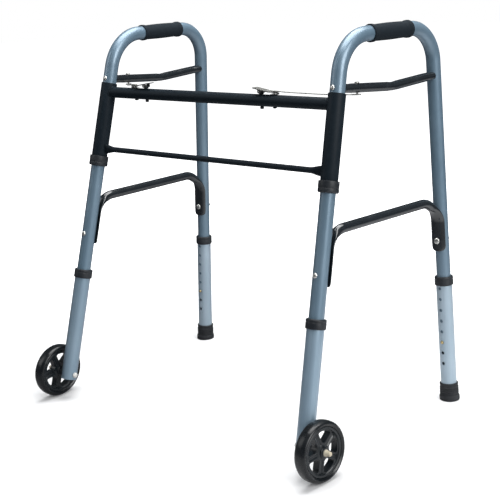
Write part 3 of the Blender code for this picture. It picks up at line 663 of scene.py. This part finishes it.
def brace_line():
    a = front_leg(BRACE_FRONT_Z) + BACK_F * 11.0
    c = rear_leg(BRACE_REAR_Z) - BACK_R * 11.0
    return a, in_plane(*BRACE_BEND), c


def stud_base():
    a, b, _ = brace_line()
    t = (BAR_Y + STUD_BACK - a.y) / (b.y - a.y)
    return a + (b - a) * t


STUD_TIP_Z = stud_base().z - BRACE_B - 1.9


# ---------------------------------------------------------------- side frames
def grip_profile():
    half, inner = GRIP_LENGTH / 2, TUBE_R + 0.25
    outer = []
    steps = 70
    for k in range(steps + 1):
        h = -half + 1.4 + (GRIP_LENGTH - 2.8) * k / steps
        edge = half - abs(h)
        lip = 1.0 / (1.0 + math.exp((edge - 11.5) / 1.3))
        belly = math.cos(math.pi * h / GRIP_LENGTH) ** 2
        outer.append((GRIP_R - 0.45 + 1.75 * lip + 0.85 * belly, h))
    lip_r = outer[0][0]
    start = [(inner, -half), (inner + 0.9, -half), (lip_r - 1.1, -half), (lip_r - 0.35, -half + 0.4)]
    end = [(lip_r - 0.35, half - 0.4), (lip_r - 1.1, half), (inner + 0.9, half), (inner, half)]
    return start + outer + end


def side_frame(side):
    tag = tag_of(side)
    body = f"side_frame_{tag}"
    corner_f, corner_r = front_leg(GRIP_HEIGHT), rear_leg(GRIP_HEIGHT)
    lo_f, lo_r = front_leg(TUBE_END_Z[0]), rear_leg(TUBE_END_Z[1])
    path = fillet([lo_f, corner_f, corner_r, lo_r], list(BEND_R), 3.5)
    path[1:1] = [lo_f + UP_F * 0.6, lo_f + UP_F * 200, lo_f + UP_F * 420]
    path[-1:-1] = [lo_r + UP_R * 420, lo_r + UP_R * 200, lo_r + UP_R * 0.6]
    full = (TUBE_R, TUBE_R, 2.0)
    ends = (TUBE_R - 0.5, TUBE_R - 0.5, 2.0)
    piece(f"tube_{tag}", sweep(path, OUT, [ends] + [full] * (len(path) - 2) + [ends], ROUND, TUBE_BORE),
          "blue", body, f"side_tube_{tag}", side)
    middle = in_plane(GRIP_Y, GRIP_HEIGHT)
    grip = piece(f"grip_{tag}", turned(middle, corner_r - corner_f, grip_profile(), 64, True, soft=0),
                 "foam", body, f"hand_grip_{tag}", side)
    # upper brace
    a, b, c = brace_line()
    line = fillet([a, b, c], [12.0], 1.6)
    n = len(line)
    front, rear = (b - a).normalized(), (b - c).normalized()
    spread, mid, plain = (13.0, 8.8, 2.6), (11.6, 9.2, 2.3), (BRACE_A, BRACE_B, 2.0)
    pts = [a, a + front * 9, a + front * 15, a + front * 22, a + front * 30]
    sections = [spread, spread, (12.4, 9.0, 2.5), mid, plain]
    crease = (10.7, 8.9, 2.2)
    pts += [b - front * 14, b - front * 9] + line[1:n - 1] + [b - rear * 9, b - rear * 14]
    sections += [plain, (10.4, 9.1, 2.1)] + [crease] * (n - 2) + [(10.4, 9.1, 2.1), plain]
    pts += [c + rear * 30, c + rear * 22, c + rear * 15, c + rear * 9, c]
    sections += [plain, mid, (12.4, 9.0, 2.5), spread, spread]
    copes = new_bm()
    turned(front_leg(700), UP_F, [(TUBE_R + 0.15, -80), (TUBE_R + 0.15, 100)], ROUND, soft=0, bm=copes)
    turned(rear_leg(700), UP_R, [(TUBE_R + 0.15, -80), (TUBE_R + 0.15, 100)], ROUND, soft=0, bm=copes)
    piece(f"brace_upper_{tag}", sweep(pts, OUT, sections, 32), "gloss", body, f"upper_brace_{tag}", side,
          cuts=[copes])
    # lower brace
    flat = TUBE_R + 0.6 + PRESS_T
    corner_a = front_leg(LOWER_Z[0]) + BACK_F * flat
    corner_b = rear_leg(LOWER_Z[1]) - BACK_R * flat
    head = [front_leg(LOWER_END_Z[0] + h) + BACK_F * flat for h, _ in TOE]
    foot = [rear_leg(LOWER_END_Z[1] + h) - BACK_R * flat for h, _ in reversed(TOE)]
    bend = fillet([head[-1], corner_a, corner_b, foot[0]], [LOWER_BEND_R] * 2, 4.0)[1:-1]
    line = head + bend + foot
    widths = [w for _, w in TOE] + [1.0] * len(bend) + [w for _, w in reversed(TOE)]
    bm = new_bm()
    rings, run = [], 0.0
    for i, (p, t) in enumerate(zip(line, tangents(line))):
        run += (p - line[i - 1]).length if i else 0.0
        lean = math.degrees(t.angle(UP_F if 2 * i < len(line) else -UP_R))
        rings.append(pressed_ring(bm, p, t.cross(OUT), max(0.0, 1 - (lean / 50) ** 2), widths[i], run))
    for i in range(len(rings) - 1):
        bridge(bm, rings[i], rings[i + 1])
    bm.faces.new(rings[0][::-1])
    bm.faces.new(rings[-1])
    bmesh.ops.recalc_face_normals(bm, faces=bm.faces[:])
    piece(f"brace_lower_{tag}", bm, "gloss", body, f"lower_brace_{tag}", side, bevel=0.5, angle=40)
    # bolts
    dome = [(0.8, -3.7), (2.6, -3.5), (4.6, -2.4), (5.7, -0.6), (5.7, 0.0)]
    for name, base, axis, grip_length, nut in (
            ("upper_front_bolt", front_leg(UPPER_BOLT_Z[0]) - BACK_F * (TUBE_R + 0.1), BACK_F,
             TUBE_R * 2 + 16, False),
            ("upper_rear_bolt", rear_leg(UPPER_BOLT_Z[1]) + BACK_R * (TUBE_R + 0.1), -BACK_R,
             TUBE_R * 2 + 16, False),
            ("lower_front_bolt", front_leg(LOWER_BOLT_Z[0]) - BACK_F * (TUBE_R + 0.1), BACK_F,
             TUBE_R * 2 + 4.9, True),
            ("lower_rear_bolt", rear_leg(LOWER_BOLT_Z[1]) - BACK_R * (TUBE_R + 4.2), BACK_R,
             TUBE_R * 2 + 5.0, True)):
        wide = 1.28 if name == "lower_rear_bolt" else 1.0
        profile = [(r * wide, h) for r, h in dome] + [(3.0, 0.05), (3.0, grip_length)]
        hexes = ()
        if nut:
            g = grip_length - 0.6
            profile += [(6.8, g + 0.02), (6.8, g + 0.7), (5.4, g + 0.75), (5.4, g + 4.6), (4.4, g + 5.2),
                        (4.4, g + 6.0), (3.0, g + 6.2)]
            hexes = ((g + 0.75, g + 4.6, 5.0),)
        cut = slot_cut(base - axis * 3.5, -axis, OUT, 3.2)
        piece(f"{name.replace('_bolt', '')}_screw_{tag}",
              turned(base, axis, profile, ROUND, soft=0.25, hexes=hexes), "steel", body, f"{name}_{tag}", side,
              cuts=[cut])
    # latch stud
    stud = stud_base()
    tip = STUD_TIP_Z - stud.z
    piece(f"stud_{tag}", turned(stud, UP, [
        (1.6, tip), (2.4, tip + 0.6), (2.4, BRACE_B + 0.25), (5.0, BRACE_B + 0.3), (4.8, BRACE_B + 2.0),
        (3.4, BRACE_B + 3.2), (0.8, BRACE_B + 3.6)], ROUND, soft=0.3),
        "satin", body, f"latch_stud_{tag}", side,
        cuts=[slot_cut(stud + UP * (BRACE_B + 3.4), UP, (0, 1, 0), 3.0)])
    # collar under the pivot sleeve
    lo = front_leg(SLEEVE_COLLAR_Z[0])
    rise = (front_leg(SLEEVE_COLLAR_Z[1]) - lo).length
    seat = (front_leg(SLEEVE_Z[0]) - lo).length - 0.4
    piece(f"collar_sleeve_{tag}", turned(lo, UP_F, [
        (TUBE_R + 0.15, 0), (19.4, 0), (20.6, 0.8), (21.6, 2.6), (21.6, 8.2), (21.1, 8.7), (21.1, 10.0),
        (21.6, 10.5), (21.6, rise), (SLEEVE_R + 0.6, rise), (SLEEVE_R + 0.6, seat), (TUBE_R + 0.15, seat)],
        ROUND, True, soft=0.6), "plastic", body, f"sleeve_collar_{tag}", side)
    extensions(side)


# ---------------------------------------------------------------- leg extensions, collars, tips, wheels
def extensions(side):
    tag = tag_of(side)
    for i, (end, leg, up, back, facing) in enumerate((
            ("front", front_leg, UP_F, BACK_F, 1.0), ("rear", rear_leg, UP_R, BACK_R, -1.0))):
        body = f"{end}_leg_{tag}"
        lo, hi = leg(EXT_BOTTOM_Z[i]), leg(EXT_TOP_Z[i])
        length = (hi - lo).length
        button, out = leg(BUTTON_Z[i]), back * facing
        cutter = new_bm()
        for k in range(HOLE_COUNT):
            rod(button + up * (HOLE_PITCH * (k - 2)), out, HOLE_R, 9, 24, 24, bm=cutter)
        cuts = [cutter]
        if end == "front":
            cuts.append(rod(axle_point(), OUT, AXLE_R + 0.4, -30, 30, 24))
        wall = [(EXT_R, length * k / 6) for k in range(7)] + [(EXT_BORE, length), (EXT_BORE, 0)]
        piece(f"leg_{end}_{tag}", turned(lo, up, wall, ROUND, True, soft=0.35),
              # front extension painted darker, rear painted lighter: painted shade and painted light on one pale blue
              ("front_ext_blue_painted_darker", "rear_ext_blue_painted_lighter")[i], body, f"{end}_extension_{tag}", side, cuts=cuts)
        # snap button on its V spring, inside the leg; drawn half closed, so a pressed one stays inside
        bore = TUBE_BORE
        leafs = fillet([button + up * h + out * d for h, d in (
            (-7, bore - 1.4), (9, bore - 1.4), (34, 1.5), (38, -2.5), (33, -6.5), (8, -bore + 6.8),
            (-8, -bore + 6.8))], [12.0, 5.0, 3.0, 6.0, 12.0], 12.0)
        nib = turned(button, out, [
            (3.5, bore - 1.7), (3.5, EXT_R + 1.2), (3.0, EXT_R + 2.4), (2.0, EXT_R + 3.2), (0.7, EXT_R + 3.5)],
            24, soft=0.5)
        piece(f"snap_{end}_{tag}", sweep(leafs, OUT, [(3.5, 0.45, 8.0)] * len(leafs), 12), "brass",
              f"{end}_snap_{tag}", f"{end}_snap_button_{tag}", side, joins=[nib])
        # collar on the extension's top end
        ring_lo = hi - up * 17.5
        piece(f"collar_{end}_{tag}", turned(ring_lo, up, [
            (EXT_R + 0.1, 0), (20.4, 0), (21.2, 1.2), (21.2, 12.6), (20.7, 13.0), (20.7, 14.2), (21.2, 14.6),
            (21.2, 18.2), (20.4, 19.8), (19.0, 20.6), (TUBE_R + 0.3, 20.6), (TUBE_R + 0.3, 17.7),
            (EXT_R + 0.1, 17.7)], ROUND, True, soft=0.5), "plastic", body, f"{end}_collar_{tag}", side)
    rubber_tip(side)
    wheel(side)


def rubber_tip(side):
    tag = tag_of(side)
    bm = new_bm()
    foot = rear_leg(0)
    ax, ay = Vector((1, 0, 0)), Vector((0, 1, 0))
    a = (OUT - UP_R * OUT.dot(UP_R)).normalized()
    b = UP_R.cross(a)
    seat = (rear_leg(EXT_BOTTOM_Z[1]) - foot).length - 0.4
    flat = [(3.0, 1.6), (5.0, 1.6), (6.0, 0.0), (9.0, 0.0), (10.0, 1.6), (12.0, 1.6), (13.0, 0.0), (16.0, 0.0),
            (17.0, 1.6), (18.6, 1.6), (19.6, 0.0), (TIP_BASE_R - 0.9, 0.0), (TIP_BASE_R - 0.25, 0.5),
            (TIP_BASE_R, 1.6), (TIP_BASE_R, 3.0)]
    rings = [ring(bm, foot + UP * h, ax, ay, r, r, ROUND, h) for r, h in flat]
    cup = [(TIP_BASE_R, 8.0), (TIP_BASE_R - 0.5, 10.2), (TIP_TOP_R + 0.1, 12.2)]
    for k in range(4):
        base = 13.4 + 4.6 * k
        cup += [(TIP_TOP_R - 0.8, base), (TIP_TOP_R - 0.8, base + 1.0), (TIP_TOP_R + 0.7, base + 1.9),
                (TIP_TOP_R + 0.7, base + 3.5)]
    cup += [(TIP_TOP_R - 0.5, 32.6), (TIP_TOP_R - 0.5, 35.0), (TIP_TOP_R + 0.2, 36.0),
            (TIP_TOP_R + 0.2, TIP_HEIGHT - 1.4), (TIP_TOP_R - 1.0, TIP_HEIGHT), (EXT_R + 0.15, TIP_HEIGHT),
            (EXT_R + 0.15, seat)]
    rings += [ring(bm, foot + UP_R * h, a, b, r, r, ROUND, h) for r, h in soften(cup, 0.5)]
    for i in range(len(rings) - 1):
        bridge(bm, rings[i], rings[i + 1])
    bm.faces.new(rings[0][::-1])
    bm.faces.new(rings[-1])
    bmesh.ops.recalc_face_normals(bm, faces=bm.faces[:])
    piece(f"tip_{tag}", bm, "rubber", f"rear_leg_{tag}", f"rubber_tip_{tag}", side)


def axle_point():
    """Where the axle's line meets the front leg's axis."""
    return front_leg(AXLE_Z)


def hub_mesh(centre):
    """Five-spoke hub: rim, barrel and spokes with raised edges round each window."""
    bm = new_bm()
    grain = bm.verts.layers.float_vector["grain"]
    a = (UP_F - OUT * UP_F.dot(OUT)).normalized()
    b = OUT.cross(a)
    sectors = 5
    # columns of one sector: fractions across its window, then across the spoke beside it
    window = [0.0, 0.04, 0.10, 0.24, 0.40, 0.60, 0.76, 0.90, 0.96, 1.0]
    spoke = [0.13, 0.19, 0.36, 0.64, 0.81, 0.87]
    wide = 46.0                    # degrees that a window's columns take at the barrel
    # rows: radius, half thickness, narrowing of the window, open to the next row
    rows = [(AXLE_R + 0.5, 12.0, 0, False), (AXLE_R + 1.4, 13.1, 0, False), (9.4, 13.1, 0, False),
            (10.6, 12.3, 0, False), (11.4, 9.4, 0, False), (13.6, 8.6, 0, False), (16.2, 8.0, 0, False),
            (18.6, 8.0, 0.30, True), (19.4, 8.0, 0.12, True), (21.0, 8.0, 0.03, True), (24.0, 8.0, 0.0, True),
            (34.0, 8.0, 0.0, True), (38.0, 8.0, 0.0, True), (40.4, 8.0, 0.03, True), (42.0, 8.0, 0.12, True),
            (42.8, 8.0, 0.30, False), (44.6, 8.6, 0, False), (46.0, 11.2, 0, False), (50.4, 11.2, 0, False),
            (51.5, 10.4, 0, False)]
    web, half_spoke = 6.0, 7.4     # half thickness of a spoke's sunk middle, half width of a spoke
    grid = []
    for r, h, narrow, _ in rows:
        cells = []
        for s in range(sectors):
            # constant-width spokes: the window widens with the radius
            half = 36.0 - math.degrees(math.asin(min(0.95, half_spoke / max(r, 9.0)))) if r > 12 else wide / 2
            half = max(half, 4.0)
            half *= 1.0 - narrow
            for f in window:
                cells.append((s * 72.0 - half + 2 * half * f, h))
            gap = 72.0 - 2 * half
            for f in spoke:
                inner = 0.30 < f < 0.70 and 15.0 < r < 43.5
                cells.append((s * 72.0 + half + gap * f, web if inner else h))
        line = []
        for angle, height in cells:
            t = math.radians(angle)
            d = a * (r * math.cos(t)) + b * (r * math.sin(t))
            pair = []
            for k in (1, -1):
                v = bm.verts.new(centre + d + OUT * (height * k))
                v[grain] = (math.cos(t), math.sin(t), r * MM)
                pair.append(v)
            line.append(pair)
        grid.append(line)
    per = len(window) + len(spoke)
    count = per * sectors
    last = len(rows) - 1

    def solid(i, j):
        return not (rows[i][3] and j % per < len(window) - 1)

    for i in range(last):
        for j in range(count):
            if not solid(i, j):
                continue
            k = (j + 1) % count
            p, q, r, s = grid[i][j], grid[i + 1][j], grid[i + 1][k], grid[i][k]
            bm.faces.new((p[0], q[0], r[0], s[0]))
            bm.faces.new((s[1], r[1], q[1], p[1]))
            if not solid(i, k):
                bm.faces.new((s[0], r[0], r[1], s[1]))
            if not solid(i, (j - 1) % count):
                bm.faces.new((p[1], q[1], q[0], p[0]))
            if i == last - 1 or not solid(i + 1, j):
                bm.faces.new((q[0], q[1], r[1], r[0]))
            if i == 0 or not solid(i - 1, j):
                bm.faces.new((p[1], p[0], s[0], s[1]))
    bmesh.ops.recalc_face_normals(bm, faces=bm.faces[:])
    return bm


def wheel(side):
    tag = tag_of(side)
    axle = axle_point()
    centre = axle + OUT * WHEEL_OFFSET
    body, leg = f"wheel_{tag}", f"front_leg_{tag}"
    tyre = [(51.7, -11.4), (53.6, -12.6), (56.4, -14.7), (59.4, -13.6), (61.7, -10.6), (62.9, -6.4), (WHEEL_R, -2.0),
            (WHEEL_R, 2.0), (62.9, 6.4), (61.7, 10.6), (59.4, 13.6), (56.4, 14.7), (53.6, 12.6), (51.7, 11.4)]
    piece(f"tyre_solid_{tag}", turned(centre, OUT, tyre, 96, True, UP_F, soft=2.0), "tyre", body, f"tyre_{tag}",
          side)
    piece(f"hub_{tag}", hub_mesh(centre), "hub", body, f"wheel_hub_{tag}", side, bevel=0.5, angle=30)
    lead, face = EXT_R + 0.2, WHEEL_OFFSET + 13.35
    piece(f"axle_{tag}", turned(axle, OUT, [
        (2.0, -lead - 5.4), (3.2, -lead - 5.2), (5.0, -lead - 4.6), (5.6, -lead - 3.9), (5.6, -lead - 1.2),
        (6.4, -lead - 1.15), (6.4, -lead - 0.1), (AXLE_R, -lead), (AXLE_R, face), (8.0, face + 0.05),
        (8.0, face + 2.3), (6.6, face + 2.35), (6.6, face + 5.2), (6.0, face + 5.5), (5.2, face + 11.0),
        (4.4, face + 15.0), (3.0, face + 16.2), (1.0, face + 16.4)], ROUND, soft=0.35,
        hexes=((-lead - 3.9, -lead - 1.2, 5.4),)), "ivory", leg, f"axle_bolt_{tag}", side)
    piece(f"spacer_{tag}", turned(axle, OUT, [
        (8.6, lead), (8.6, WHEEL_OFFSET - 13.5), (AXLE_R + 0.2, WHEEL_OFFSET - 13.5), (AXLE_R + 0.2, lead)],
        32, True, soft=0.5), "plastic", leg, f"axle_spacer_{tag}", side)


front_frame()
for which in (1, -1):
    side_frame(which)


# ---------------------------------------------------------------- studio
def studio():
    """A white floor with a painted pool of light for reflections, three soft boxes and the camera."""
    reach = 14.0
    mesh = bpy.data.meshes.new("floor")
    mesh.from_pydata([(-reach, -reach, 0.0), (reach, -reach, 0.0), (reach, reach, 0.0), (-reach, reach, 0.0)],
                     [], [(0, 1, 2, 3)])
    floor = bpy.data.objects.new("floor", mesh)
    bpy.context.scene.collection.objects.link(floor)
    mesh.shade_smooth()
    paper = Look("white_floor_with_painted_pool", (0.90, 0.90, 0.90), 0.0, 0.75)
    mesh.materials.append(paper.mat)
    seen = paper.node("ShaderNodeLightPath").outputs["Is Camera Ray"]
    away = paper.node("ShaderNodeVectorMath", operation="LENGTH")
    paper.link(paper.place, away.inputs[0])
    # Painted light: rays other than the camera's see a painted pool of light, pale floor near a point beside the frame
    # fading to near black further off, which the tubes show as a painted reflection; the camera sees plain white.
    pool = paper.node("ShaderNodeVectorMath", operation="DISTANCE")
    pool.inputs[1].default_value = (1.15, -0.15, 0.0)
    paper.link(paper.place, pool.inputs[0])
    painted_light_pool = paper.blend(paper.span(pool.outputs["Value"], 0.0, 1.0, 0.6, 2.1), (0.72, 0.72, 0.73), (0.04, 0.04, 0.05))
    paper.colour(paper.blend(seen, painted_light_pool, (0.94, 0.94, 0.94)))
    paper.put("Emission Color", (1.0, 1.0, 1.0, 1.0))
    glow = paper.node("ShaderNodeMath", operation="MULTIPLY")
    paper.link(seen, glow.inputs[0])
    paper.link(paper.span(away.outputs["Value"], 0.0, 1.0, 0.6, 1.8), glow.inputs[1])
    paper.link(glow.outputs[0], paper.shader.inputs["Emission Strength"])
    world = bpy.data.worlds.new("studio")
    bpy.context.scene.world = world
    world.use_nodes = True
    tree = world.node_tree
    sky = tree.nodes["Background"]
    sky.inputs["Color"].default_value = (0.80, 0.86, 0.94, 1.0)
    sky.inputs["Strength"].default_value = 0.16
    paper_white = tree.nodes.new("ShaderNodeBackground")
    paper_white.inputs["Color"].default_value = (1.0, 1.0, 1.0, 1.0)
    mixed = tree.nodes.new("ShaderNodeMixShader")
    tree.links.new(tree.nodes.new("ShaderNodeLightPath").outputs["Is Camera Ray"], mixed.inputs[0])
    tree.links.new(sky.outputs[0], mixed.inputs[1])
    tree.links.new(paper_white.outputs[0], mixed.inputs[2])
    tree.links.new(mixed.outputs[0], tree.nodes["World Output"].inputs["Surface"])
    aim = Vector((0.0, 0.0, 0.45))
    for name, place, width, height, power in (
            ("key", (8.6, -1.0, 5.0), 5.6, 6.2, 720.0),
            ("fill", (-2.6, -2.4, 2.3), 1.6, 2.0, 18.0),
            ("top", (0.0, 0.5, 3.3), 2.8, 2.8, 150.0)):
        light = bpy.data.lights.new(name, "AREA")
        light.shape, light.size, light.size_y, light.energy = "RECTANGLE", width, height, power
        lamp = bpy.data.objects.new(name, light)
        lamp.location = place
        lamp.rotation_euler = (aim - Vector(place)).to_track_quat("-Z", "Y").to_euler()
        bpy.context.scene.collection.objects.link(lamp)
    bpy.context.scene.view_settings.view_transform = "Standard"
    camera()


def camera():
    """Three-quarter view from the front on the +X side, a little above the grips."""
    yaw, pitch, roll = (math.radians(v) for v in (39.872, -14.670, -2.624))
    forward = Vector((-math.sin(yaw) * math.cos(pitch), math.cos(yaw) * math.cos(pitch), math.sin(pitch)))
    flat = Vector((math.cos(yaw), math.sin(yaw), 0.0))
    above = flat.cross(forward)
    right = flat * math.cos(roll) + above * math.sin(roll)
    upward = -flat * math.sin(roll) + above * math.cos(roll)
    data = bpy.data.cameras.new("view")
    data.sensor_width, data.lens = 36.0, 76.99
    data.shift_x = -0.12
    data.clip_start, data.clip_end = 0.05, 60.0
    cam = bpy.data.objects.new("view", data)
    turn = Matrix((right, upward, -forward)).transposed().to_4x4()
    cam.matrix_world = Matrix.Translation((1.6482, -1.7175, 0.9795)) @ turn
    bpy.context.scene.collection.objects.link(cam)
    bpy.context.scene.camera = cam


studio()
